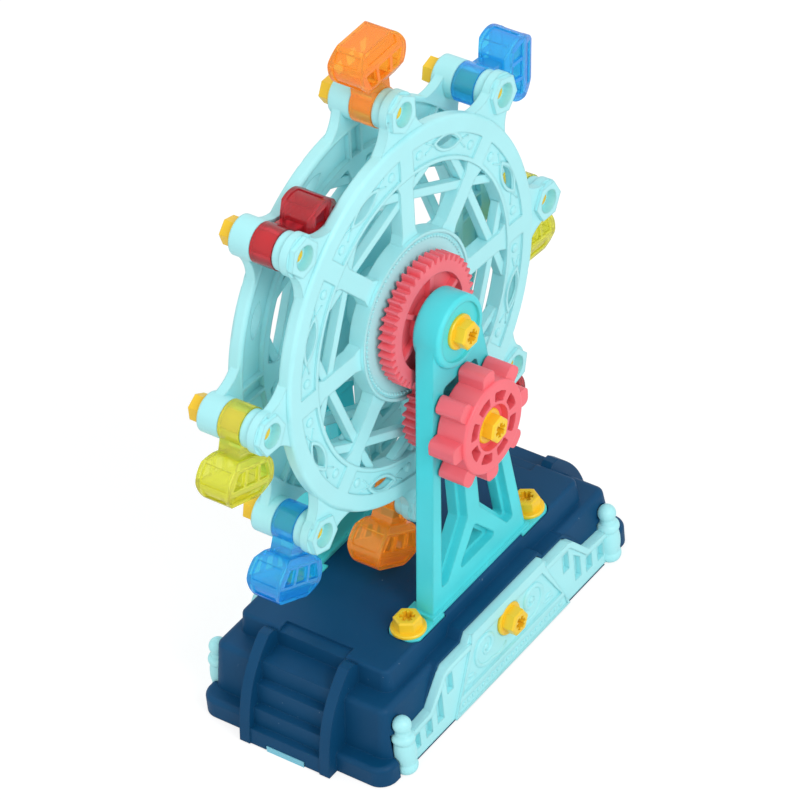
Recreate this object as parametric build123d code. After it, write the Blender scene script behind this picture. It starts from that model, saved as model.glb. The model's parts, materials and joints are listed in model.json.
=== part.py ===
from build123d import *
import math
import os

# Hand-cranked ferris wheel toy. Millimetres. X along the base (stairs at both ends),
# Y along the wheel axle (crank side at -Y), Z up, origin under the middle of the base.

# ---- base -------------------------------------------------------------------
FLANGE_X, FLANGE_Y = 153.5, 80.7
SHELL_Z0, FLANGE_Z = 0.6, 8.7
BODY_X, BODY_Y, BODY_Z = 142.2, 78.4, 28.7
PLATFORM_X, PLATFORM_Y, PLATFORM_Z = 120.0, 65.6, 37.5
BODY_TAPER, PLATFORM_TAPER = 7.0, 6.0
CAVITY_X, CAVITY_Y, CEILING_Z = 137.0, 66.4, 26.0
COVER_T, COVER_GAP = 2.4, 0.25
STAIR_HALF, STRINGER_T = 15.0, 4.4
STRINGER = [(64.0, 37.8), (70.2, 31.8), (75.6, 23.8), (78.9, 14.8), (81.3, 0.6)]
TREADS = [(69.5, 30.6), (73.3, 22.9), (76.9, 14.5), (80.1, 7.0)]
LANDING = (54.1, 63.0, 36.3)

# ---- side plates (w is the distance out from the middle, u = x, v = z) --------
PLATE_BACK, PLATE_LATTICE, PLATE_FRONT = 36.8, 40.2, 41.2
PLATE_TOP = [(62, 15.4), (48, 16.2), (38.6, 26.8), (37.4, 27.6), (25, 27.6), (22.6, 31.0)]
PANEL_TOP_HALF, PANEL_BOTTOM_HALF, PANEL_TOP = 23.0, 35.5, 31.0
RAIL = [(61.5, 14.1), (48.6, 14.8), (39.4, 25.2), (37.4, 26.2), (24.0, 26.2)]
BALUSTER_SLOTS = [(36.0, 15.0, 23.0, 23.0), (42.8, 6.5, 18.8, 15.2), (49.8, 5.5, 12.0, 11.8),
                  (57.0, 5.0, 11.4, 11.2)]
SLOT_W, SLOT_DEPTH = 3.8, 2.2
POST_U, POST_W, POST_R = 63.5, 39.6, 4.1
PLATE_SCREW_V, PLATE_SEAT = 21.0, 40.0

# ---- towers -------------------------------------------------------------------
AXLE_Z, LEG_FOOT_U, CAP_R = 146.0, 28.3, 13.2
SIDE_WINDOW = [(3.6, 65.6), (17.9, 47.0), (21.7, 47.0), (15.3, 98.5), (3.6, 98.5)]
FOOT_WINDOW = [(0.0, 60.4), (-11.6, 47.0), (11.6, 47.0)]
TOP_WINDOW = [(-9.7, 127.5), (-11.2, 116.5), (11.2, 116.5), (9.7, 127.5)]
CAP_W0, CAP_W1, RIM_T = 20.8, 31.8, 1.2
LEG_W0, LEG_STEP, LEG_W1 = 22.4, 26.4, 29.6
BOSS_R, BOSS_W1 = 9.6, 30.0
TAB_U, TAB_SCREW_U, TAB_SCREW_W, TAB_T = 42.0, 36.3, 24.8, 2.0

# ---- wheel ----------------------------------------------------------------------
LUG_R, PHASE, LUGS = 80.0, 86.23, 8
DISC_W0, DISC_W1 = 7.6, 13.0
RIM_R, RIM_LIP_R, RING_R0, RING_R1 = 70.4, 64.0, 54.5, 56.0
HUB_R, HUB_LIP_R, HUB_LIP_W = 30.6, 29.4, 13.9
SPOKE_HALF, CHORD_V0, CHORD_V1 = 3.6, 42.4, 45.6
AXLE_R, RUN_GAP = 4.0, 0.08
SLEEVE_R, SLEEVE_HALF, EAR_W0 = 7.2, 4.3, 4.5
BOLT_R, BOLT_TIP_R, BOLT_STEP, BOLT_FRONT, BOLT_BACK = 4.0, 2.3, 8.6, 10.2, 12.8

# ---- gears and crank --------------------------------------------------------------
MODULE, GEAR_TEETH, PINION_TEETH = 1.04, 44, 28
PRESSURE_ANGLE, BACKLASH = 20.0, 0.16
GEAR_W0, GEAR_W1 = 14.6, 20.2
CRANK_Z = AXLE_Z - MODULE * (GEAR_TEETH + PINION_TEETH) / 2
KNOB_W0, KNOB_TOOTH_W, KNOB_W1 = 30.4, 40.6, 41.8
KNOB_R, KNOB_TIP_R, KNOB_TOOTH_HALF, KNOB_TURN = 17.2, 22.2, 3.4, -4.0
KNOB_SLOT_R0, KNOB_SLOT_R1, KNOB_SLOT_SPAN = 9.7, 13.4, 30.0

# ---- screws -------------------------------------------------------------------------
SCREW_FLANGE_R, SCREW_FLANGE_T, SCREW_HEX_R, SCREW_HEX_H = 6.4, 1.2, 5.1, 4.4
SHANK_R, SHANK_HOLE_R = 2.4, 2.5

# ---- cabins: drops are distances below the pivot --------------------------------------
CABIN_TOP, CABIN_BULGE, CABIN_FLOOR = (6.6, 10.4), (12.1, 18.8), (7.6, 26.5)
CABIN_SECTION = [(5.4, 10.4), (6.9, 13.0), (7.1, 20.4), (6.9, 21.6), (5.5, 26.5)]
CABIN_WALL, PANE_DEPTH = 1.2, 0.45
CABIN_HANG = [180, 82, -5, 0, -30, -26, -20, 76]

FRONT = Plane((0, 0, 0), x_dir=(1, 0, 0), z_dir=(0, -1, 0))


def to_front(part):
    """Local (u, v, w) becomes world (x, z, -y)."""
    return FRONT.location * part


def to_back(part):
    """The same, mirrored to the +Y side."""
    return mirror(to_front(part), about=Plane.XZ)


def block(x0, x1, y0, y1, z0, z1):
    return Pos((x0 + x1) / 2, (y0 + y1) / 2, (z0 + z1) / 2) * Box(x1 - x0, y1 - y0, z1 - z0)


def disc(r, w0, w1, u=0.0, v=0.0):
    return Pos(u, v, (w0 + w1) / 2) * Cylinder(r, w1 - w0)


def ring(r_out, r_in, w0, w1):
    return disc(r_out, w0, w1) - disc(r_in, w0 - 1, w1 + 1)


def prism(points, w0, w1):
    return extrude(Pos(0, 0, w0) * Polygon(*points, align=None), amount=w1 - w0, dir=(0, 0, 1))


def bar(p, q, width, w0, w1):
    """A straight bar of the given width from p to q."""
    length = math.dist(p, q)
    turn = math.degrees(math.atan2(q[1] - p[1], q[0] - p[0]))
    middle = Pos((p[0] + q[0]) / 2, (p[1] + q[1]) / 2, (w0 + w1) / 2)
    return middle * Rot(0, 0, turn) * Box(length, width, w1 - w0)


def window(points, corner, w0, w1, inset=0.0):
    """A cutter for a window with rounded corners, drawn in by the inset."""
    outline = Polygon(*points, align=None)
    if inset:
        outline = offset(outline, -inset)
        corner = 0.6
    outline = fillet(outline.vertices(), corner)
    return extrude(Pos(0, 0, w0) * outline, amount=w1 - w0, dir=(0, 0, 1))


def both_ways(points):
    """A half outline from +u is closed with its mirror image at -u."""
    return points + [(-u, v) for u, v in reversed(points)]


def rounded_block(x, y, z0, z1, corner, taper=0.0):
    base = Pos(0, 0, z0) * RectangleRounded(x, y, corner)
    return extrude(base, amount=z1 - z0, taper=taper)


def top_edges(part, z):
    return part.edges().filter_by_position(Axis.Z, z - 0.01, z + 0.01)


# ---- screws -----------------------------------------------------------------------------
def screw(seat, shank):
    """A flanged hex screw with a star socket, seated at w = seat, shank pointing down."""
    head = seat + SCREW_FLANGE_T
    top = head + SCREW_HEX_H
    body = disc(SCREW_FLANGE_R, seat, head)
    hexagon = extrude(Pos(0, 0, head) * RegularPolygon(SCREW_HEX_R, 6), amount=SCREW_HEX_H)
    hexagon = chamfer(hexagon.edges().group_by(Axis.Z)[-1], 0.6)
    body = chamfer(body.edges().group_by(Axis.Z)[-1], 0.4) + hexagon
    body += disc(SHANK_R, seat - shank, seat)
    for turn in (0, 60, 120):
        body -= Rot(0, 0, turn) * block(-2.7, 2.7, -0.8, 0.8, top - 2.8, top + 1)
    return body - disc(1.7, top - 2.8, top + 1)


# ---- base ---------------------------------------------------------------------------------
def side_outline(grow=0.0):
    """Front outline of a side plate, grown outwards by a margin."""
    half = [(62 + grow, max(SHELL_Z0, 1.0 - grow))]
    half += [(u + grow * 0.6, v + grow) for u, v in PLATE_TOP]
    return both_ways(half)


def stair(sign):
    steps = [(50, 0.6), (50, 30.6)]
    for i, (x, z) in enumerate(TREADS):
        steps.append((x, z))
        steps.append((x + 0.4, TREADS[i + 1][1]) if i < 3 else (80.8, 0.6))
    step = prism([(sign * x, z) for x, z in steps], -STAIR_HALF - 1, STAIR_HALF + 1)
    back = [(81.3, 0.6), (56.0, 0.6), (56.0, 34.0), (61.0, 38.0), STRINGER[0]]
    outline = [Spline(*STRINGER)] + [Line(a, b) for a, b in zip(back, back[1:])]
    face = make_face(Curve() + outline)
    cheek = extrude(Pos(0, 0, STAIR_HALF) * face, amount=STRINGER_T, dir=(0, 0, 1))
    cheek = cheek if sign > 0 else mirror(cheek, about=Plane.YZ)
    return to_front(step) + to_front(cheek) + to_back(cheek)


def post():
    """A newel post of a side plate: swelling column on a round foot, ring, ball."""
    foot = ThreePointArc((3.5, 0.7), (4.25, 2.6), (3.7, 4.6))
    column = ThreePointArc((3.7, 4.6), (4.25, 9.4), (3.6, 14.0))
    bead = ThreePointArc((3.6, 14.0), (4.3, 15.8), (3.0, 17.6))
    ends = [Line((3.0, 17.6), (2.6, 19.4)), Line((2.6, 19.4), (0, 19.4)),
            Line((0, 19.4), (0, 0.7)), Line((0, 0.7), (3.5, 0.7))]
    turned = revolve(Plane.XZ * make_face(Curve() + [foot, column, bead] + ends), Axis.Z)
    return turned + Pos(0, 0, 21.4) * Sphere(3.4)


def post_room():
    """Room in the base for one post."""
    return Pos(0, 0, 8.8) * Cylinder(POST_R + 0.6, 18.4) + Pos(0, 0, 21.4) * Sphere(3.8)


def at_posts(shape):
    return [Pos(sign * POST_U, -POST_W, 0) * shape for sign in (-1, 1)]


def side_pocket():
    """Room in the base for one side plate, at -Y, and its screw hole."""
    room = prism(side_outline(0.3), PLATE_BACK - 0.1, 60)
    cut = to_front(room + disc(SHANK_HOLE_R, 20, 60, 0, PLATE_SCREW_V))
    return [cut] + at_posts(post_room())


def base_shell():
    flange = rounded_block(FLANGE_X, FLANGE_Y, SHELL_Z0, FLANGE_Z, 6.5)
    flange = fillet(top_edges(flange, FLANGE_Z), 2.0)
    body = rounded_block(BODY_X, BODY_Y, FLANGE_Z - 3, BODY_Z, 6.0, BODY_TAPER)
    body = fillet(top_edges(body, BODY_Z), 2.4)
    deck = rounded_block(PLATFORM_X, PLATFORM_Y, BODY_Z - 2, PLATFORM_Z, 4.0, PLATFORM_TAPER)
    deck = fillet(top_edges(deck, PLATFORM_Z), 1.5)
    pad = prism(side_outline(1.5), 30, PLATE_BACK + 0.9)
    shell = flange + [body, deck, stair(1), stair(-1), to_front(pad), to_back(pad)]
    hollow = rounded_block(CAVITY_X, CAVITY_Y, COVER_T - 0.1, CEILING_Z, 4.0, 5.0)
    upper = rounded_block(110, 56, CEILING_Z - 1, PLATFORM_Z - 2.4, 3.0, 3.0)
    mouth = rounded_block(CAVITY_X + 3, CAVITY_Y + 3, SHELL_Z0 - 1, COVER_T + 0.05, 5.0)
    shell -= hollow + upper + mouth
    for sx in (-1, 1):
        shell -= block(*sorted((sx * 60, sx * 90)), -8.3, 8.3, 0, COVER_T + 0.05)
        shell -= block(*sorted((sx * LANDING[0], sx * LANDING[1])), -14.2, 14.2, LANDING[2], 45)
        for sy in (-1, 1):
            boss = Pos(sx * TAB_SCREW_U, sy * TAB_SCREW_W, 31.5) * Cylinder(4.6, 9)
            leg = Pos(sx * 56, sy * 24, (COVER_T + 27) / 2 + 0.05) * Cylinder(3.6, 27 - COVER_T)
            shell += [boss, leg]
            shell -= Pos(sx * TAB_SCREW_U, sy * TAB_SCREW_W, 34) * Cylinder(SHANK_HOLE_R, 20)
            shell -= Pos(sx * 56, sy * 24, 8) * Cylinder(1.5, 18)
            shell -= tab_shape(sx, sy, 0.3)
    for cut in side_pocket():
        shell -= [cut, mirror(cut, about=Plane.XZ)]
    return shell


def cover():
    """Bottom cover with a tongue that shows under each flight of stairs."""
    plate = rounded_block(CAVITY_X + 3 - 2 * COVER_GAP, CAVITY_Y + 3 - 2 * COVER_GAP, 0, COVER_T, 4.8)
    plate += block(-80.9, 80.9, -8, 8, 0, COVER_T)
    for sx in (-1, 1):
        for sy in (-1, 1):
            plate -= Pos(sx * 56, sy * 24, 0) * Cylinder(3.4, 2.4)
            plate -= Pos(sx * 56, sy * 24, 0) * Cylinder(1.5, 20)
    return plate


def cover_screws():
    head = Pos(0, 0, 0.75) * Cylinder(3.1, 0.9) + Pos(0, 0, 5) * Cylinder(1.4, 8)
    head -= block(-2, 2, -0.35, 0.35, 0, 0.9) + block(-0.35, 0.35, -2, 2, 0, 0.9)
    return [Pos(sx * 56, sy * 24, 0) * head for sx in (-1, 1) for sy in (-1, 1)]


def side_plate():
    """Railing at -Y: sheet with baluster slots, handrail, trapezoid panel, two posts."""
    sheet = prism(side_outline(), PLATE_BACK, PLATE_LATTICE)
    adds = at_posts(post())
    for s in (-1, 1):
        for u, v0, inner, outer in BALUSTER_SLOTS:
            a, b = s * (u - SLOT_W / 2), s * (u + SLOT_W / 2)
            slot = [(a, v0), (b, v0), (b, outer), (a, inner)]
            sheet -= prism(slot, PLATE_LATTICE - SLOT_DEPTH, 50)
        rail = [(s * u, v) for u, v in RAIL]
        for p, q in zip(rail, rail[1:]):
            adds += [to_front(bar(p, q, 2.4, PLATE_BACK + 1, PLATE_FRONT - 0.1))]
            adds += [to_front(disc(1.2, PLATE_BACK + 1, PLATE_FRONT - 0.1, q[0], q[1]))]
    half = [(PANEL_BOTTOM_HALF, 1.0), (PANEL_TOP_HALF, 27.0), (PANEL_TOP_HALF - 0.8, PANEL_TOP)]
    panel = prism(both_ways(half), PLATE_BACK, PLATE_FRONT)
    panel -= prism(both_ways([(31.0, 8.8), (20.6, 26.4)]), PLATE_SEAT, 50)
    panel -= prism(both_ways([(34.0, 1.8), (32.6, 6.6)]), 40.6, 50)
    plate = to_front(sheet + panel) + adds
    hole = disc(SHANK_HOLE_R, 30, 50) + disc(SCREW_FLANGE_R + 0.3, PLATE_SEAT, 50)
    return plate - Pos(0, 0, PLATE_SCREW_V) * to_front(hole)


def side_screw():
    return Pos(0, 0, PLATE_SCREW_V) * to_front(screw(PLATE_SEAT, 6.0))


# ---- towers ----------------------------------------------------------------------------------
def tab_shape(sx, sy, grow=0.0):
    """Screw tab at one corner of a tower's foot, let into the deck."""
    x0, x1 = 24 - grow, TAB_U + grow
    y0, y1 = 18.6 - grow, 31.3 + grow
    z0 = PLATFORM_Z - TAB_T + 0.4 - grow / 3
    tab = block(x0, x1, y0, y1, z0, z0 + TAB_T + 4 * grow)
    tab = fillet(tab.edges().filter_by(Axis.Z).group_by(Axis.X)[-1], 4.0)
    tab = tab if sx > 0 else mirror(tab, about=Plane.YZ)
    return tab if sy > 0 else mirror(tab, about=Plane.XZ)


def tower_windows(w0, w1, inset=0.0):
    other = [(-u, v) for u, v in SIDE_WINDOW]
    return [window(SIDE_WINDOW, 1.1, w0, w1, inset), window(other, 1.1, w0, w1, inset),
            window(FOOT_WINDOW, 1.4, w0, w1, inset), window(TOP_WINDOW, 2.0, w0, w1, inset)]


def tower():
    """A-frame at -Y with Y-shaped brace, crank boss and axle cap."""
    frame = prism(both_ways([(LEG_FOOT_U, PLATFORM_Z), (CAP_R, AXLE_Z)]), LEG_W0, LEG_W1)
    frame -= tower_windows(LEG_STEP, LEG_W1 + 1)
    frame -= tower_windows(LEG_W0 - 1, LEG_STEP, 1.6)
    foot = block(-29.6, 29.6, PLATFORM_Z, PLATFORM_Z + 1.6, CAP_W0, LEG_W1 + 1.0)
    cap = disc(CAP_R, CAP_W0, CAP_W1)
    cap = fillet(cap.edges().filter_by(GeomType.CIRCLE), 1.2)
    cap -= disc(CAP_R - RIM_T - 1.2, CAP_W1 - 1.0, CAP_W1 + 1)
    frame = frame + [foot, disc(BOSS_R, LEG_W0 - 1.0, BOSS_W1, 0, CRANK_Z)]
    frame = frame + Pos(0, AXLE_Z, 0) * cap
    frame -= disc(AXLE_R + RUN_GAP, 0, 50, 0, CRANK_Z)
    frame -= disc(AXLE_R + 0.03, 0, 26.0, 0, AXLE_Z)
    frame -= disc(SHANK_HOLE_R, 0, 50, 0, AXLE_Z)
    body = to_front(frame) + [tab_shape(1, -1), tab_shape(-1, -1)]
    for sx in (-1, 1):
        spot = Pos(sx * TAB_SCREW_U, -TAB_SCREW_W, PLATFORM_Z)
        body -= spot * Cylinder(SHANK_HOLE_R, 10)
        body -= spot * Pos(0, 0, 5.4) * Cylinder(SCREW_FLANGE_R + 0.3, 10)
    return body


def tower_screws():
    seat = PLATFORM_Z + 0.4
    return [Pos(sx * TAB_SCREW_U, sy * TAB_SCREW_W, 0) * screw(seat, 8.0)
            for sx in (-1, 1) for sy in (-1, 1)]


def axle():
    rod = Cylinder(AXLE_R, 51.6)
    hole = Pos(0, 0, 22) * Cylinder(SHANK_HOLE_R, 10)
    rod -= [hole, mirror(hole, about=Plane.XY)]
    return Pos(0, 0, AXLE_Z) * to_front(rod)


def axle_screw():
    return Pos(0, 0, AXLE_Z) * to_front(screw(CAP_W1 - 1.0, 10.0))


# ---- wheel ------------------------------------------------------------------------------------
def lens(centre, half_length, half_height):
    """Pointed oval lying across the radius."""
    a, b = (centre, -half_length), (centre, half_length)
    top = ThreePointArc(a, (centre + half_height, 0), b)
    low = ThreePointArc(b, (centre - half_height, 0), a)
    return make_face(Curve() + [top, low])


def sector_bars():
    """Chord bar, two struts and the raised border of the lens window, centred on +u."""
    w0, w1 = DISC_W0 + 0.8, DISC_W1 - 1.4
    bars = [bar(((CHORD_V0 + CHORD_V1) / 2, -17), ((CHORD_V0 + CHORD_V1) / 2, 17), 3.2, w0, w1)]
    for s in (-1, 1):
        bars.append(bar((45.6, s * 17.0), (55.0, s * 6.8), 3.2, w0, w1))
    bars.append(extrude(Pos(0, 0, DISC_W1 - 1.2) * lens(61.2, 8.8, 3.5), amount=1.1,
                        dir=(0, 0, 1)))
    return bars


def spoke():
    """Main spoke along +u with flared ends, and its strip over the ornament band."""
    flare = [(28, 5.6), (33.5, 3.6), (50.5, 3.6), (55.2, 5.8)]
    outline = flare + [(u, -v) for u, v in reversed(flare)]
    strip = block(55, 65, -SPOKE_HALF, SPOKE_HALF, DISC_W1 - 1.2, DISC_W1)
    return prism(outline, DISC_W0, DISC_W1 - 0.6) + strip


def ear_web():
    """Flared web from the rim to the boss at the lug circle."""
    a, b = (67.5, 15.0), (LUG_R, 6.9)
    side = ThreePointArc(a, (72.6, 9.2), b)
    other = ThreePointArc((b[0], -b[1]), (72.6, -9.2), (a[0], -a[1]))
    outline = Curve() + [side, Line(b, (b[0], -b[1])), other, Line((a[0], -a[1]), a)]
    return extrude(Pos(0, 0, DISC_W0 + 0.2) * make_face(outline), amount=3.8, dir=(0, 0, 1))


def inner_recess():
    """Hollow on the inner face of the rim, crossed by two ribs at each spoke."""
    hollow = ring(68.4, 57.4, DISC_W0 - 1, DISC_W0 + 2.0)
    for k in range(LUGS):
        for v in (-3.1, 3.1):
            hollow -= Rot(0, 0, PHASE - 45 * k) * block(55, 70, v - 0.6, v + 0.6, 5, 12)
    return hollow


def front_ear():
    """Collar, body and hex nose of a front lug."""
    body = disc(6.8, EAR_W0, 7.9, LUG_R) + disc(7.6, 7.8, 11.0, LUG_R)
    nose = extrude(Pos(LUG_R, 0, 11.0) * RegularPolygon(7.3, 6), amount=2.0)
    return body + nose


def back_ear():
    return disc(SLEEVE_R, EAR_W0, BOLT_BACK, LUG_R)


def wheel_disc(front):
    rim = ring(RIM_R, RING_R0, DISC_W0, DISC_W1)
    rim = fillet(rim.edges().filter_by(GeomType.CIRCLE).sort_by(SortBy.LENGTH)[-2:], 1.4)
    rim -= ring(RIM_LIP_R, RING_R1, DISC_W1 - 0.8, DISC_W1 + 1)
    hub = disc(HUB_R, DISC_W0, DISC_W1 + 0.2) + ring(HUB_R, HUB_LIP_R, DISC_W1, HUB_LIP_W)
    adds = [hub]
    bores = [disc(AXLE_R + RUN_GAP, -5, 30), inner_recess()]
    for k in range(LUGS):
        lug = Rot(0, 0, PHASE - 45 * k)
        adds += [lug * spoke(), lug * ear_web(), lug * (front_ear() if front else back_ear())]
        middle = Rot(0, 0, PHASE - 45 * k - 22.5)
        adds += [middle * piece for piece in sector_bars()]
        bores.append(middle * extrude(Pos(0, 0, 5) * lens(61.2, 7.0, 2.4), amount=10,
                                      dir=(0, 0, 1)))
        bores.append(lug * disc(BOLT_R + 0.03, 0, BOLT_STEP if front else 30, LUG_R))
        if front:
            bores.append(lug * disc(BOLT_TIP_R + 0.1, 0, 30, LUG_R))
            bores.append(lug * disc(4.4, BOLT_FRONT - 0.8, 30, LUG_R))
    part = rim + adds
    for cut in bores:
        part -= cut
    placed = to_front(part) if front else to_back(part)
    return Pos(0, 0, AXLE_Z) * placed


def hub_spacer():
    return Pos(0, 0, AXLE_Z) * to_front(ring(11.0, AXLE_R + RUN_GAP, -DISC_W0, DISC_W0))


def lug_centre(k):
    turn = math.radians(PHASE - 45 * k)
    return LUG_R * math.cos(turn), AXLE_Z + LUG_R * math.sin(turn)


def cabin_bolts():
    """Flanged bolts put in from the back, one through each pair of lugs."""
    head = disc(6.0, -BOLT_BACK - 1.2, -BOLT_BACK)
    head += extrude(Pos(0, 0, -BOLT_BACK - 5.4) * RegularPolygon(SCREW_HEX_R, 6), amount=4.2)
    bolt = head + disc(BOLT_R, -BOLT_BACK, BOLT_STEP) + disc(BOLT_TIP_R, 0, BOLT_FRONT)
    for turn in (0, 60, 120):
        bolt -= Rot(0, 0, turn) * block(-2.4, 2.4, -0.75, 0.75, -BOLT_BACK - 6, -BOLT_BACK - 3)
    out = []
    for k in range(LUGS):
        x, z = lug_centre(k)
        out.append(Pos(x, 0, z) * to_front(Rot(0, 0, 15 * k) * bolt))
    return out


# ---- gears ---------------------------------------------------------------------------------------
def involute_point(r_base, r, sign, half_angle):
    """Point of a flank at radius r; half_angle is the half tooth angle at the base circle."""
    pressure = math.acos(min(1.0, r_base / r))
    turn = half_angle - (math.tan(pressure) - pressure)
    return r * math.cos(sign * turn), r * math.sin(sign * turn)


def gear_profile(teeth, first):
    """Involute outline with the given tooth count; first is the angle of tooth 0 in degrees."""
    pitch = MODULE * teeth / 2
    r_base = pitch * math.cos(math.radians(PRESSURE_ANGLE))
    tip, root = pitch + MODULE * 0.98, pitch - 1.25 * MODULE
    a = math.radians(PRESSURE_ANGLE)
    half = math.pi / (2 * teeth) - BACKLASH / (2 * pitch) + math.tan(a) - a
    low = max(r_base, root + 0.2)
    radii = [low + (tip - low) * t for t in (0.0, 0.35, 0.7, 1.0)]
    flank = [involute_point(r_base, r, -1, half) for r in radii]
    other = [(x, -y) for x, y in reversed(flank)]
    foot = [(root * math.cos(s * half * 1.12), root * math.sin(s * half * 1.12)) for s in (-1, 1)]
    tooth = [foot[0]] + flank + other + [foot[1]]
    points = []
    for k in range(teeth):
        turn = math.radians(first) + 2 * math.pi * k / teeth
        c, s = math.cos(turn), math.sin(turn)
        points += [(x * c - y * s, x * s + y * c) for x, y in tooth]
    return points


def big_gear():
    """Wheel gear: toothed ring, thin web with radial ribs, hub."""
    gear = prism(gear_profile(GEAR_TEETH, -90.0), GEAR_W0, GEAR_W1)
    gear -= ring(17.6, 9.0, 17.0, GEAR_W1 + 1)
    ribs = [Rot(0, 0, 60 * k + 20) * block(8, 18, -0.9, 0.9, 16, GEAR_W1 - 0.8) for k in range(6)]
    gear = gear + ribs + [disc(9.0, DISC_W1 + 0.2, GEAR_W1)]
    gear -= disc(AXLE_R + RUN_GAP, 0, 40)
    return Pos(0, 0, AXLE_Z) * to_front(gear)


def pinion_shaft():
    """Pinion in mesh below the gear: a gap faces the gear's lowest tooth."""
    first = 90.0 + 180.0 / PINION_TEETH
    gear = prism(gear_profile(PINION_TEETH, first), GEAR_W0, GEAR_W1)
    gear -= ring(11.4, 6.5, 18.4, GEAR_W1 + 1)
    shaft = disc(6.0, GEAR_W0, LEG_W0 - 1.3) + disc(AXLE_R, GEAR_W0, 38.0)
    shaft -= disc(SHANK_HOLE_R, 28.0, 40.0)
    return Pos(0, 0, CRANK_Z) * to_front(gear + shaft)


def knob_slot():
    """Blind slot between two ribs of the knob face: a ring sector."""
    half = math.radians(KNOB_SLOT_SPAN / 2)
    turns = [-half, 0.0, half]
    outer = [(KNOB_SLOT_R1 * math.cos(a), KNOB_SLOT_R1 * math.sin(a)) for a in turns]
    inner = [(KNOB_SLOT_R0 * math.cos(a), KNOB_SLOT_R0 * math.sin(a)) for a in reversed(turns)]
    return window(outer + inner, 0.6, 33.4, 50)


def crank_knob():
    """Eight-toothed hand knob with a front ring, eight slots and a sunk middle."""
    knob = disc(KNOB_R, KNOB_W0, KNOB_W1)
    knob = fillet(knob.edges().group_by(Axis.Z)[-1], 0.8)
    teeth, slots = [], []
    tooth = block(8, KNOB_TIP_R, -KNOB_TOOTH_HALF, KNOB_TOOTH_HALF, KNOB_W0, KNOB_TOOTH_W)
    tooth = fillet(tooth.edges().filter_by(Axis.Z).group_by(Axis.X)[-1], 2.3)
    for k in range(8):
        teeth.append(Rot(0, 0, 45 * k + KNOB_TURN) * tooth)
        slots.append(Rot(0, 0, 45 * k + 22.5 + KNOB_TURN) * knob_slot())
    knob = knob + teeth
    knob -= slots
    knob -= disc(8.5, 39.0, 50)
    knob -= disc(AXLE_R + 0.03, 0, 38.2)
    knob -= disc(SHANK_HOLE_R, 0, 50)
    return Pos(0, 0, CRANK_Z) * to_front(knob)


def knob_screw():
    return Pos(0, 0, CRANK_Z) * to_front(Rot(0, 0, 10) * screw(39.0, 9.0))


# ---- cabins ----------------------------------------------------------------------------------------
def cabin_barrel(shrink):
    """The barrel-sided front view of a cabin, as long as it is wide."""
    (tu, tv), (bu, bv), (fu, fv) = CABIN_TOP, CABIN_BULGE, CABIN_FLOOR
    top, floor = (tu - shrink, -tv - shrink), (fu - shrink, -fv + shrink)
    left, right = (-top[0], top[1]), (-floor[0], floor[1])
    edges = [ThreePointArc(top, (bu - shrink, -bv), floor), Line(floor, right),
             ThreePointArc(right, (shrink - bu, -bv), left), Line(left, top)]
    return to_front(extrude(Pos(0, 0, -8) * make_face(Curve() + edges), amount=16, dir=(0, 0, 1)))


def cabin_taper(shrink):
    """The end view of a cabin: narrower at the roof and at the floor."""
    last = len(CABIN_SECTION) - 1
    half = []
    for i, (y, drop) in enumerate(CABIN_SECTION):
        step = shrink if i == 0 else -shrink if i == last else 0.0
        half.append((y - shrink, -drop - step))
    side = prism(both_ways(half), -15, 15)
    return Plane.YZ.location * side


def cabin_solid(shrink):
    return cabin_barrel(shrink) & cabin_taper(shrink)


def cabin_windows():
    """Three openings with two mullions, right through both broad sides."""
    outer = [(4.1, -13.6), (7.7, -13.6), (10.1, -19.4), (4.5, -19.4)]
    middle = [(-2.7, -13.6), (2.7, -13.6), (3.1, -19.4), (-3.1, -19.4)]
    shapes = [outer, middle, [(-u, v) for u, v in outer]]
    return [to_front(window(shape, 0.5, -9, 9)) for shape in shapes]


def cabin_panes():
    """Shallow sunk panes: ends, lower bevels at the ends and at the broad sides."""
    skin_x = cabin_barrel(-0.5) - cabin_barrel(PANE_DEPTH)
    skin_y = cabin_taper(-0.5) - cabin_taper(PANE_DEPTH)
    ends = skin_x & (block(-14, 14, -5.2, 5.2, -19.8, -13.2) + block(-14, 14, -4.6, 4.6, -25.2, -22.0))
    sides = skin_y & block(-8.0, 8.0, -9, 9, -25.0, -22.2)
    return [ends, sides]


def cabin(k):
    """Cabin k hung on its sleeve and turned to the angle it stands at."""
    body = cabin_solid(0.0) - cabin_solid(CABIN_WALL)
    for cut in cabin_windows() + cabin_panes():
        body -= cut
    neck = block(-5.0, 5.0, -SLEEVE_HALF, SLEEVE_HALF, -11.2, 0)
    body += [neck, to_front(disc(SLEEVE_R, -SLEEVE_HALF, SLEEVE_HALF))]
    body -= to_front(disc(BOLT_R + RUN_GAP, -10, 10))
    x, z = lug_centre(k)
    return Pos(x, 0, z) * Rot(0, -CABIN_HANG[k], 0) * body


def save(name, solids):
    shape = Compound(children=list(solids)) if isinstance(solids, list) else solids
    export_step(shape, f"parts/{name}.step")


def main():
    os.makedirs("parts", exist_ok=True)
    plate, stand = side_plate(), tower()
    save("base_shell", base_shell())
    save("base_cover", cover())
    save("cover_screws", cover_screws())
    save("side_plate_front", plate)
    save("side_plate_back", mirror(plate, about=Plane.XZ))
    save("side_plate_screws", [side_screw(), mirror(side_screw(), about=Plane.XZ)])
    save("tower_front", stand)
    save("tower_back", mirror(stand, about=Plane.XZ))
    save("tower_screws", tower_screws())
    save("axle", axle())
    save("axle_screws", [axle_screw(), mirror(axle_screw(), about=Plane.XZ)])
    save("wheel_disc_front", wheel_disc(True))
    save("wheel_disc_back", wheel_disc(False))
    save("hub_spacer", hub_spacer())
    save("cabin_bolts", cabin_bolts())
    save("big_gear", big_gear())
    save("pinion_shaft", pinion_shaft())
    save("crank_knob", crank_knob())
    save("knob_screw", knob_screw())
    for k in range(LUGS):
        save(f"cabin_{k + 1}", cabin(k))


main()
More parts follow.
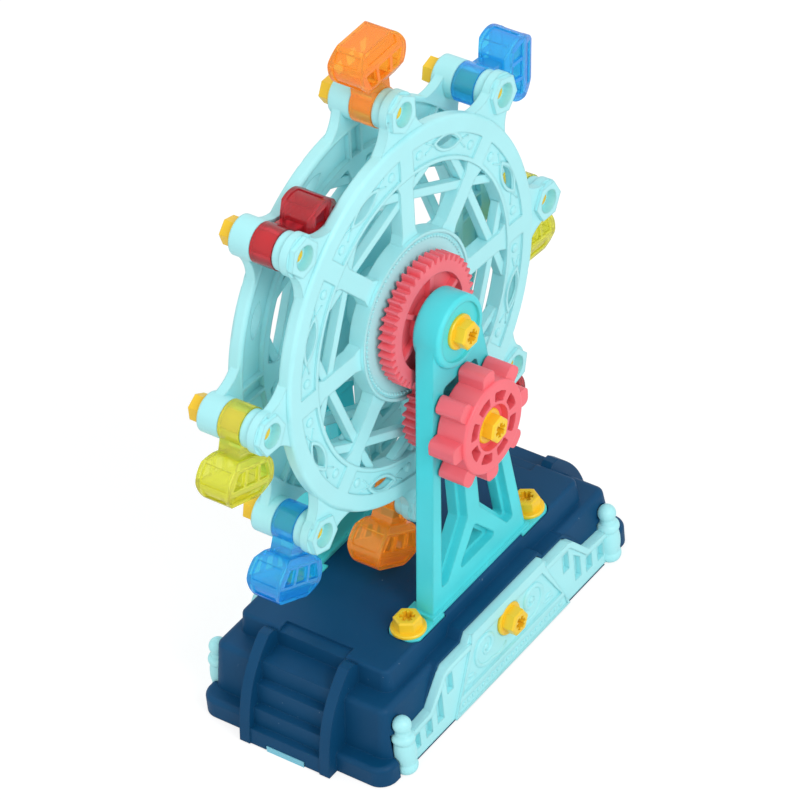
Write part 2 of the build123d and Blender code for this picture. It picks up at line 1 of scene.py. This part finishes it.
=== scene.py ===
# %% [markdown]
# # Hand-cranked ferris wheel toy: looks
# The real toy is injection-moulded plastic: a navy stepped base, mint railings and wheel,
# turquoise towers, coral gears and knob, and eight clear tinted cabins. Its solids come
# packed as a fixed frame, so this script models none of them again. It gives each one its
# finish, adds the relief that is too fine for the solids, and sets up camera and studio.

# %% Load the frame
import bmesh
import bpy
import json
import math
from mathutils import Matrix, Vector


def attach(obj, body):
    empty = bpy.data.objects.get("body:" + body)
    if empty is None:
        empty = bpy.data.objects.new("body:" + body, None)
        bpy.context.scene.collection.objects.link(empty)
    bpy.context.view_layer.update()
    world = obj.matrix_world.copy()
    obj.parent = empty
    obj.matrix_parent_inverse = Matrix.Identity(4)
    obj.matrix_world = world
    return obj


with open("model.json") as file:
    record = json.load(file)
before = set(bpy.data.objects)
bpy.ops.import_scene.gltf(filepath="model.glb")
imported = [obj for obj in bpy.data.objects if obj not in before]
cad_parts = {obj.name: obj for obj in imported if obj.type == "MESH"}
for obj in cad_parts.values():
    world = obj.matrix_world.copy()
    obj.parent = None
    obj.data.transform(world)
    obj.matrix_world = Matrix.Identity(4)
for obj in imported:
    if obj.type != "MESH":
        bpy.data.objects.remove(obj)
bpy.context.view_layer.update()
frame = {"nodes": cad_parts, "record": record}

# %% [markdown]
# ## Camera
# A long lens looks down on the corner between one flight of stairs and the crank side. The
# view could be set by eye, but the toy's proportions were measured through a fitted camera,
# so that same camera is written here: a place in metres, an aim by azimuth and elevation,
# and a small roll.

# %% Camera
CAM_PLACE = (-0.9725, -0.8020, 1.1343)
CAM_AZIMUTH, CAM_ELEVATION, CAM_ROLL = (math.radians(a) for a in (-50.57, 39.28, -6.3))
CAM_LENS, CAM_SENSOR = 213.6, 36.0
CAM_NEAR, CAM_FAR = 0.1, 20.0


def camera_axes():
    """Right, up and back directions of the camera in the frame."""
    level = math.cos(CAM_ELEVATION)
    back = Vector((math.sin(CAM_AZIMUTH) * level, -math.cos(CAM_AZIMUTH) * level,
                   math.sin(CAM_ELEVATION)))
    right = (-back).cross(Vector((0, 0, 1))).normalized()
    up = right.cross(-back)
    cos_roll, sin_roll = math.cos(CAM_ROLL), math.sin(CAM_ROLL)
    return cos_roll * right + sin_roll * up, cos_roll * up - sin_roll * right, back


camera = bpy.data.objects.new("camera", bpy.data.cameras.new("camera"))
bpy.context.scene.collection.objects.link(camera)
aim = Matrix(camera_axes()).transposed().to_4x4()
camera.matrix_world = Matrix.Translation(CAM_PLACE) @ aim
camera.data.lens, camera.data.sensor_width = CAM_LENS, CAM_SENSOR
camera.data.clip_start, camera.data.clip_end = CAM_NEAR, CAM_FAR
bpy.context.scene.camera = camera
print("camera", [round(v, 3) for v in camera.location], "lens", CAM_LENS)

# %% [markdown]
# ## Shader maths as formulas
# Every finish below is made of small sums of noise. They could be wired node by node, but
# then a sum of three terms hides in a dozen lines. `Sock` wraps an output socket instead,
# and each operator adds one Math node, so a formula reads as it does on paper. It has the
# operators used below, with the reflected forms that let a number stand on the left.

# %% Sockets that take part in arithmetic


class Sock:
    """An output socket that takes part in arithmetic."""

    def __init__(self, tree, out):
        self.tree, self.out = tree, out

    def math(self, what, other):
        return self.tree.make("Math", {0: self, 1: other}, operation=what)

    def __add__(self, other):
        return self.math("ADD", other)

    def __mul__(self, other):
        return self.math("MULTIPLY", other)

    def __sub__(self, other):
        return self.math("SUBTRACT", other)

    def __rsub__(self, other):
        return self.tree.make("Math", {0: other, 1: self}, operation="SUBTRACT")

    __radd__ = __add__
    __rmul__ = __mul__

    def ramp(self, low, high, to_low=0.0, to_high=1.0):
        """Maps low..high onto to_low..to_high and holds it there."""
        return self.tree.make("MapRange", {0: self, 1: low, 2: high, 3: to_low, 4: to_high})


print("socket arithmetic ready")

# %% [markdown]
# ## One way to make a node
# A material is a tree of nodes. `Tree.make` is the only place where a node is added: it
# sets the node's own settings, fills its sockets with values or links, and hands back one
# output. Colours are written as 8-bit display values, which are easy to compare with a
# picture, so `linear` turns them into the linear light that shaders work in.

# %% Node trees and colours
MIX_FIRST, MIX_SECOND, MIX_COLOUR = 6, 7, 2


class Tree:
    """Node tree of one material or of the world."""

    def __init__(self, owner):
        owner.use_nodes = True
        self.nodes, self.links = owner.node_tree.nodes, owner.node_tree.links
        self.nodes.clear()

    def make(self, kind, ins=None, out=0, **props):
        """Adds a node, its settings first, and returns one of its outputs."""
        node = self.nodes.new("ShaderNode" + kind)
        for name, value in props.items():
            setattr(node, name, value)
        for key, value in (ins or {}).items():
            if isinstance(value, Sock):
                self.links.new(value.out, node.inputs[key])
            else:
                node.inputs[key].default_value = value
        return Sock(self, node.outputs[out]) if node.outputs else None


def mixed(tree, factor, first, second):
    """The first colour where factor is 0, the second where it is 1."""
    return tree.make("Mix", {"Factor": factor, MIX_FIRST: first, MIX_SECOND: second},
                     out=MIX_COLOUR, data_type="RGBA")


def linear(rgb):
    """8-bit display colour to linear light."""
    def one(v):
        v /= 255.0
        return v / 12.92 if v <= 0.04045 else ((v + 0.055) / 1.055) ** 2.4
    return tuple(one(v) for v in rgb) + (1.0,)


print("node tools ready")

# %% [markdown]
# ## Moulded plastics
# The opaque parts are satin injection-moulded plastic: nearly one colour, with a faint flow
# cloud, a fine spark-eroded grain, and edges that the mould rounds a little. One flat
# colour would look like paint, and modelled grain would take millions of faces. So the
# cloud is slow noise in the colour, the grain is fast noise in the bump, and a Bevel node
# rounds the edges in the shading alone. The navy base also shows a few pale specks of dust
# and rubbing, and `specks` says how many.

# %% Moulded plastics
FLOW_SCALE, GRAIN_SCALE, DUST_SCALE = 38.0, 2600.0, 620.0
CLOUD_DEEP, CLOUD_LIFT = 1.6, 0.004
DUST_RGB, DUST_SHARE, DUST_LOW, DUST_HIGH = (150, 180, 196), 0.7, 0.76, 0.79
CLOUD_ROUGH, GRAIN_ROUGH, ROUGH_SHIFT = 0.1, 0.04, 0.07
GRAIN_STRENGTH, GRAIN_DEPTH, EDGE_SAMPLES, PLASTIC_IOR = 0.05, 0.0002, 4, 1.48


def moulded(name, rgb, rough, edge=0.0003, cloud=0.05, sheen=0.5, specks=0.0):
    material = bpy.data.materials.new(name)
    tree = Tree(material)
    place = tree.make("TexCoord", out="Object")
    flow = tree.make("TexNoise", {"Vector": place, "Scale": FLOW_SCALE, "Detail": 3.0})
    fine = tree.make("TexNoise", {"Vector": place, "Scale": GRAIN_SCALE, "Detail": 2.0})
    base = linear(rgb)
    deep = tuple(c * (1.0 - cloud * CLOUD_DEEP) for c in base[:3]) + (1.0,)
    pale = tuple(min(1.0, c * (1.0 + cloud) + CLOUD_LIFT) for c in base[:3]) + (1.0,)
    patch = flow.ramp(0.3, 0.7)
    colour = mixed(tree, 1.0 - patch, pale, deep)
    if specks:
        dust = tree.make("TexNoise", {"Vector": place, "Scale": DUST_SCALE, "Detail": 3.0})
        spots = dust.ramp(DUST_LOW - specks, DUST_HIGH - specks)
        mask = DUST_SHARE * spots * flow.ramp(0.45, 0.65)
        colour = mixed(tree, mask, colour, linear(DUST_RGB))
    roughness = (rough - ROUGH_SHIFT) + CLOUD_ROUGH * patch + GRAIN_ROUGH * fine
    soft = tree.make("Bevel", {"Radius": edge}, samples=EDGE_SAMPLES)
    bump = tree.make("Bump", {"Height": fine, "Strength": GRAIN_STRENGTH,
                              "Distance": GRAIN_DEPTH, "Normal": soft})
    shader = tree.make("BsdfPrincipled", {"Base Color": colour, "Roughness": roughness,
                                          "Normal": bump, "IOR": PLASTIC_IOR,
                                          "Specular IOR Level": sheen})
    tree.make("OutputMaterial", {"Surface": shader})
    return material


NAVY = moulded("navy_plastic", (5, 71, 112), 0.46, edge=0.0006, sheen=0.16, specks=0.02)
PALE_BLUE = moulded("pale_blue_plastic", (132, 208, 228), 0.4)
MINT = moulded("mint_plastic", (174, 241, 246), 0.34, edge=0.0008, cloud=0.02)
TURQUOISE = moulded("turquoise_plastic", (78, 224, 232), 0.34, edge=0.0009)
CORAL = moulded("coral_plastic", (255, 110, 122), 0.34, edge=0.0005)
YELLOW = moulded("yellow_plastic", (255, 208, 40), 0.3)
print("moulded plastics made")

# %% [markdown]
# ## Clear cabins
# The cabins are tinted clear styrene, and a wall of it seen edge-on is deeper in colour
# than one seen face-on. Full glass with absorption would give that too, but thin walls
# then come out nearly colourless and noisy. So the tint is in the base colour and deepens
# by Layer Weight, partly for the longer path through the wall and partly as painted edge
# light. Part of the light goes through, and a weak painted glow in the same tint stands
# for the light that the tinted walls pass on to each other. Slow noise in the bump gives
# flow lines.

# %% Clear cabins
RIPPLE_SCALE, RIPPLE_STRENGTH, RIPPLE_DEPTH = 90.0, 0.25, 0.0006
EDGE_ON, CLEAR_IOR, LIGHT_THROUGH = 0.35, 1.45, 0.72


def tinted(name, rgb, deep, glow):
    material = bpy.data.materials.new(name)
    tree = Tree(material)
    place = tree.make("TexCoord", out="Object")
    flow = tree.make("TexNoise", {"Vector": place, "Scale": RIPPLE_SCALE, "Detail": 2.0})
    # Deeper tint edge-on: partly the longer path through the wall, partly painted edge light.
    rim = tree.make("LayerWeight", {"Blend": EDGE_ON}, out="Facing")
    colour = mixed(tree, rim.ramp(0.1, 0.9), linear(rgb), linear(deep))
    bump = tree.make("Bump", {"Height": flow, "Strength": RIPPLE_STRENGTH,
                              "Distance": RIPPLE_DEPTH})
    # Emission in the tint colour is a painted glow: the cabin shines though it is no lamp.
    shader = tree.make("BsdfPrincipled", {"Base Color": colour, "Normal": bump,
                                          "Roughness": flow.ramp(0.2, 0.8, 0.06, 0.14),
                                          "IOR": CLEAR_IOR,
                                          "Transmission Weight": LIGHT_THROUGH,
                                          "Emission Color": colour,
                                          "Emission Strength": glow})
    tree.make("OutputMaterial", {"Surface": shader})
    return material


# The last number of each is the strength of its painted glow.
CLEAR = {
    "clear_orange": tinted("clear_orange", (255, 188, 70), (255, 128, 0), 0.075),
    "clear_blue": tinted("clear_blue", (76, 214, 255), (0, 118, 245), 0.045),
    "clear_yellow_green": tinted("clear_yellow_green", (248, 250, 104), (225, 212, 0), 0.035),
    "clear_red": tinted("clear_red", (244, 66, 80), (170, 0, 22), 0.005),
}
print("clear plastics made:", len(CLEAR))

# %% [markdown]
# ## Plated screws
# The screws of the bottom cover are plated steel. A perfect mirror would look new and
# false, so one noise gives the plating small changes in both tone and roughness.

# %% Plated steel
WEAR_SCALE = 700.0


def plated(name):
    material = bpy.data.materials.new(name)
    tree = Tree(material)
    place = tree.make("TexCoord", out="Object")
    wear = tree.make("TexNoise", {"Vector": place, "Scale": WEAR_SCALE, "Detail": 4.0})
    colour = mixed(tree, wear, linear((150, 152, 156)), linear((205, 206, 210)))
    shader = tree.make("BsdfPrincipled", {"Base Color": colour, "Metallic": 1.0,
                                          "Roughness": wear.ramp(0.3, 0.7, 0.22, 0.4)})
    tree.make("OutputMaterial", {"Surface": shader})
    return material


STEEL = plated("plated_steel")
print("plated steel made")

# %% [markdown]
# ## A finish for every solid
# Each solid already names its material slot in the record. Finishes could be given by node
# name, but by slot a repeated part, such as the eight cabins, needs no line of its own.

# %% Finishes by slot
BY_SLOT = {
    "navy_plastic": NAVY, "pale_blue_plastic": PALE_BLUE, "mint_plastic": MINT,
    "turquoise_plastic": TURQUOISE, "coral_plastic": CORAL, "yellow_plastic": YELLOW,
    "steel": STEEL, **CLEAR,
}
for part in frame["record"]["subparts"]:
    mesh = frame["nodes"][part["node"]].data
    mesh.materials.clear()
    mesh.materials.append(BY_SLOT[part["material_slot"]])

# %% [markdown]
# ## Tools for the raised ornament
# The mould's ornament stands about a millimetre proud of the walls. It could be bump in
# the material, but raised moulding catches light on its flanks and shows in outline, so it
# is modelled. A line is a six-sided section carried along a path, half sunk in the wall,
# and a boss is a flattened sphere. Paths are given as (u, v) in millimetres: u along X and
# v up, on a wall at distance w from the middle of the toy.

# %% Raised lines and bosses
SECTION_SIDES = 6


def frame_at(path, i, w):
    """Where the line's section stands at point i of a path on a wall."""
    (u0, v0), (u1, v1) = path[max(i - 1, 0)], path[min(i + 1, len(path) - 1)]
    along = Vector((u1 - u0, 0, v1 - v0)).normalized()
    out = Vector((0, 1, 0))
    turn = Matrix((along.cross(out), out, along)).transposed().to_4x4()
    return Matrix.Translation((path[i][0], -w, path[i][1])) @ turn


def raised_line(bm, path, w, radii):
    """Carries the section along the path, with a radius for each point."""
    here = frame_at(path, 0, w) @ Matrix.Scale(radii[0], 4)
    start = bmesh.ops.create_circle(bm, cap_ends=True, segments=SECTION_SIDES, radius=1.0,
                                    matrix=here)
    edges = list({edge for vert in start["verts"] for edge in vert.link_edges})
    for i in range(1, len(path)):
        grown = bmesh.ops.extrude_edge_only(bm, edges=edges)["geom"]
        there = frame_at(path, i, w) @ Matrix.Scale(radii[i], 4)
        verts = [item for item in grown if isinstance(item, bmesh.types.BMVert)]
        edges = [item for item in grown if isinstance(item, bmesh.types.BMEdge)]
        edges = [edge for edge in edges if all(vert in verts for vert in edge.verts)]
        bmesh.ops.transform(bm, matrix=there @ here.inverted(), verts=verts)
        here = there
    bmesh.ops.edgeloop_fill(bm, edges=edges)


def boss(bm, u, v, w, radius, rise, sides=10):
    """A low round boss on the wall."""
    place = Matrix.Translation((u, -w, v)) @ Matrix.Diagonal((radius, rise, radius, 1.0))
    bmesh.ops.create_uvsphere(bm, u_segments=sides, v_segments=sides // 2, radius=1.0,
                              matrix=place @ Matrix.Rotation(math.pi / 2, 4, "X"))


def swelling(count, thin, swell):
    """Radii for a line that is thin at both ends and thickest halfway."""
    return [thin + swell * math.sin(math.pi * i / (count - 1)) for i in range(count)]


print("line and boss tools ready")

# %% [markdown]
# ## From relief to a piece
# Both sides of the toy carry the same ornament. It could be built twice, but one mirrored
# copy keeps the two alike. A mirror turns a shape inside out, so the normals are worked
# out again, and each piece then rides on the body whose wall it is moulded on.

# %% Ornament pieces
MM = 0.001


def ornament_piece(name, bm, body, back):
    """Millimetres become metres, the back copy is mirrored, and the piece rides along."""
    flip = -1.0 if back else 1.0
    bmesh.ops.scale(bm, vec=(MM, MM * flip, MM), verts=bm.verts)
    bmesh.ops.recalc_face_normals(bm, faces=bm.faces)
    mesh = bpy.data.meshes.new(name)
    bm.to_mesh(mesh)
    bm.free()
    mesh.materials.append(MINT)
    for face in mesh.polygons:
        face.use_smooth = True
    piece = bpy.data.objects.new(name, mesh)
    bpy.context.scene.collection.objects.link(piece)
    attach(piece, body)
    print(name, len(mesh.polygons), "faces")


print("ornament piece tool ready")

# %% [markdown]
# ## Ornament of the wheel
# Round the hub runs a row of beads just inside the lip. In the band of the rim, two waved
# lines cross at both tips of each leaf-shaped hole, and a round boss stands on each side
# of every spoke. The lines could be drawn point by point, but both are sampled from one
# cosine that is zero at the hole's tips, so they cross exactly there.

# %% Ornament of the wheel
AXLE_Z, SPOKE_PHASE, SECTORS, SECTOR = 146.0, 86.23, 8, 45.0
BEADS, BEAD_RING, BEAD_WALL = 96, 28.1, 13.2
BEAD_RADIUS, BEAD_RISE, BEAD_SIDES = 0.7, 0.75, 8
BAND_WALL, LEAF_RING, LEAF_SWING = 12.2, 61.0, 2.75
LEAF_TIP, LEAF_END, WAVE_STEPS, WAVE_RADIUS = 7.6, 11.6, 12, 0.42
BOSS_AT, BOSS_RING, BOSS_RADIUS, BOSS_RISE, BOSS_SIDES = 15.0, 60.0, 1.8, 0.8, 12


def on_wheel(degrees, radius):
    """A point (u, v) at an angle and a distance from the axle."""
    a = math.radians(degrees)
    return radius * math.cos(a), AXLE_Z + radius * math.sin(a)


def waved_line(middle, side):
    """Outer (side 1) or inner (side -1) line round the leaf-shaped hole at middle."""
    path = []
    for step in range(-WAVE_STEPS, WAVE_STEPS + 1):
        offset = LEAF_END * step / WAVE_STEPS
        wave = math.cos(math.pi * offset / (2 * LEAF_TIP))
        path.append(on_wheel(middle + offset, LEAF_RING + side * LEAF_SWING * wave))
    return path


def wheel_ornament(back):
    bm = bmesh.new()
    for k in range(BEADS):
        u, v = on_wheel(360.0 * k / BEADS, BEAD_RING)
        boss(bm, u, v, BEAD_WALL, BEAD_RADIUS, BEAD_RISE, sides=BEAD_SIDES)
    for k in range(SECTORS):
        middle = SPOKE_PHASE - SECTOR * k - SECTOR / 2
        for side in (-1, 1):
            path = waved_line(middle, side)
            raised_line(bm, path, BAND_WALL, [WAVE_RADIUS] * len(path))
            u, v = on_wheel(middle + side * BOSS_AT, BOSS_RING)
            boss(bm, u, v, BAND_WALL, BOSS_RADIUS, BOSS_RISE, sides=BOSS_SIDES)
    name = "wheel_ornament_back" if back else "wheel_ornament_front"
    ornament_piece(name, bm, "wheel", back)


wheel_ornament(False)
wheel_ornament(True)

# %% [markdown]
# ## Scrolls of the side plates
# Each trapezoid panel carries two mirrored scrolls beside its screw, small leaves in each
# lower corner, and a row of beads along the foot strip. A scroll is a spiral that opens
# from its eye and runs out in a tapering tail. The spiral is a formula, the four points of
# the tail are listed, and the line gets a radius at every point so that it swells
# and thins as cut ornament does.

# %% Ornament of the side plates
PANEL_WALL, FOOT_WALL = 40.0, 40.6
EYE_U, EYE_V, EYE_RADIUS, EYE_RISE, EYE_SIDES = 14.0, 18.6, 1.5, 0.9, 12
SCROLL_START, SCROLL_GROW, SCROLL_POINTS = 1.2, 0.8, 33
SCROLL_STEP, SCROLL_FROM = 15.0, 12.0
SCROLL_THIN, SCROLL_SWELL = 0.7, 0.5
SCROLL_TAIL = [(9.0, 10.3), (6.6, 10.0), (4.4, 10.6), (2.4, 12.2)]
LEAVES = [((20.5, 11.2), (27.0, 10.6)), ((21.5, 12.4), (26.2, 13.6))]
LEAF_STEPS, LEAF_THIN, LEAF_SWELL = 8, 0.15, 0.75
FOOT_BEADS_EACH_WAY, FOOT_PITCH, FOOT_V = 10, 3.0, 4.2
FOOT_RADIUS, FOOT_RISE = 1.05, 0.5


def scroll_path():
    """Points of one scroll on the right-hand side, from its eye outwards."""
    path = []
    for step in range(SCROLL_POINTS):
        turn = math.radians(SCROLL_STEP * step)
        radius = SCROLL_START + SCROLL_GROW * turn
        at = math.radians(SCROLL_FROM) - turn
        path.append((EYE_U + radius * math.cos(at), EYE_V + radius * math.sin(at)))
    return path + SCROLL_TAIL


def leaf_path(side, root, tip):
    """A straight line of points from a leaf's root to its tip."""
    (u0, v0), (u1, v1) = root, tip
    return [(side * (u0 + (u1 - u0) * i / LEAF_STEPS), v0 + (v1 - v0) * i / LEAF_STEPS)
            for i in range(LEAF_STEPS + 1)]


def plate_ornament(back):
    bm = bmesh.new()
    path = scroll_path()
    radii = swelling(len(path), SCROLL_THIN, SCROLL_SWELL)
    for side in (-1, 1):
        raised_line(bm, [(side * u, v) for u, v in path], PANEL_WALL, radii)
        boss(bm, side * EYE_U, EYE_V, PANEL_WALL, EYE_RADIUS, EYE_RISE, sides=EYE_SIDES)
        for root, tip in LEAVES:
            leaf = leaf_path(side, root, tip)
            raised_line(bm, leaf, PANEL_WALL, swelling(len(leaf), LEAF_THIN, LEAF_SWELL))
    for k in range(-FOOT_BEADS_EACH_WAY, FOOT_BEADS_EACH_WAY + 1):
        boss(bm, FOOT_PITCH * k, FOOT_V, FOOT_WALL, FOOT_RADIUS, FOOT_RISE)
    name = "plate_ornament_back" if back else "plate_ornament_front"
    ornament_piece(name, bm, "stand", back)


plate_ornament(False)
plate_ornament(True)

# %% [markdown]
# ## White surroundings
# The toy is shown before plain white. Brighter lamps would whiten the background as well,
# but they would bleach the mint plastic. So the world lights the toy at a plain level, and
# Light Path shows pure white only to the camera, in reflections and through the cabins.

# %% World
WHITE = (1, 1, 1, 1)
AMBIENT = 0.7


def white_for_camera(tree, lit):
    """lit for the light that reaches the object, plain white where the camera looks."""
    path = tree.make("LightPath", out="Is Camera Ray")
    glossy = tree.make("LightPath", out="Is Glossy Ray")
    through = tree.make("LightPath", out="Is Transmission Ray")
    seen = (path + glossy + through).math("MINIMUM", 1.0)
    white = tree.make("Background", {"Color": WHITE, "Strength": 1.0})
    return tree.make("MixShader", {0: seen, 1: lit, 2: white})


world = bpy.data.worlds.new("studio")
bpy.context.scene.world = world
air = Tree(world)
ambient = air.make("Background", {"Color": WHITE, "Strength": AMBIENT})
air.make("OutputWorld", {"Surface": white_for_camera(air, ambient)})
print("world ready, ambient", AMBIENT)

# %% [markdown]
# ## Floor
# The floor has to look white and still keep the toy's soft shadow. A floor of plain white
# shows grey under this light, so the camera sees a grey diffuse with a glow added, which
# together come near white where no shadow falls. All other rays meet a plain pale floor
# with a little grit in its tone, so that the glow doesn't light the toy from below.

# %% Floor
FLOOR_HALF, GRIT_SCALE = 3.0, 40.0
SHADOW_GREY, FLOOR_GLOW = 0.3, 0.78
FLOOR_DARK, FLOOR_PALE = (0.8, 0.8, 0.8, 1), (0.84, 0.84, 0.84, 1)


def floor_material():
    material = bpy.data.materials.new("floor_white")
    tree = Tree(material)
    place = tree.make("TexCoord", out="Object")
    grit = tree.make("TexNoise", {"Vector": place, "Scale": GRIT_SCALE})
    grey = (SHADOW_GREY, SHADOW_GREY, SHADOW_GREY, 1.0)
    lit = tree.make("BsdfDiffuse", {"Color": grey, "Roughness": 0.5})
    glow = tree.make("Emission", {"Color": WHITE, "Strength": FLOOR_GLOW})
    shown = tree.make("AddShader", {0: lit, 1: glow})
    plain = tree.make("BsdfDiffuse", {"Color": mixed(tree, grit, FLOOR_DARK, FLOOR_PALE)})
    seen = tree.make("LightPath", out="Is Camera Ray")
    surface = tree.make("MixShader", {0: seen, 1: plain, 2: shown})
    tree.make("OutputMaterial", {"Surface": surface})
    return material


bm = bmesh.new()
bmesh.ops.create_grid(bm, x_segments=2, y_segments=2, size=FLOOR_HALF)
floor_mesh = bpy.data.meshes.new("floor")
bm.to_mesh(floor_mesh)
bm.free()
floor_mesh.materials.append(floor_material())
floor = bpy.data.objects.new("floor", floor_mesh)
bpy.context.scene.collection.objects.link(floor)
print("floor ready,", 2 * FLOOR_HALF, "m wide")

# %% [markdown]
# ## Lamps
# Large discs give the soft edges of studio light, where small lamps would give hard
# shadows in the lattice. The key stands on the crank side, a weaker fill on the stairs'
# side, and a top light picks out the upper faces.

# %% Lamps


def area_light(name, place, aim, size, power):
    lamp = bpy.data.objects.new(name, bpy.data.lights.new(name, "AREA"))
    bpy.context.scene.collection.objects.link(lamp)
    lamp.data.shape, lamp.data.size, lamp.data.energy = "DISK", size, power
    lamp.location = place
    lamp.rotation_euler = (Vector(place) - Vector(aim)).to_track_quat("Z", "Y").to_euler()


area_light("key", (-0.4, -1.5, 1.2), (0, 0, 0.12), 0.9, 11.5)
area_light("fill", (-1.6, -0.2, 0.9), (0, 0, 0.12), 1.0, 3.0)
area_light("top", (0.1, 0.3, 1.9), (0, 0, 0.1), 1.0, 4.0)
bpy.context.scene.view_settings.view_transform = "Standard"
print("studio ready")
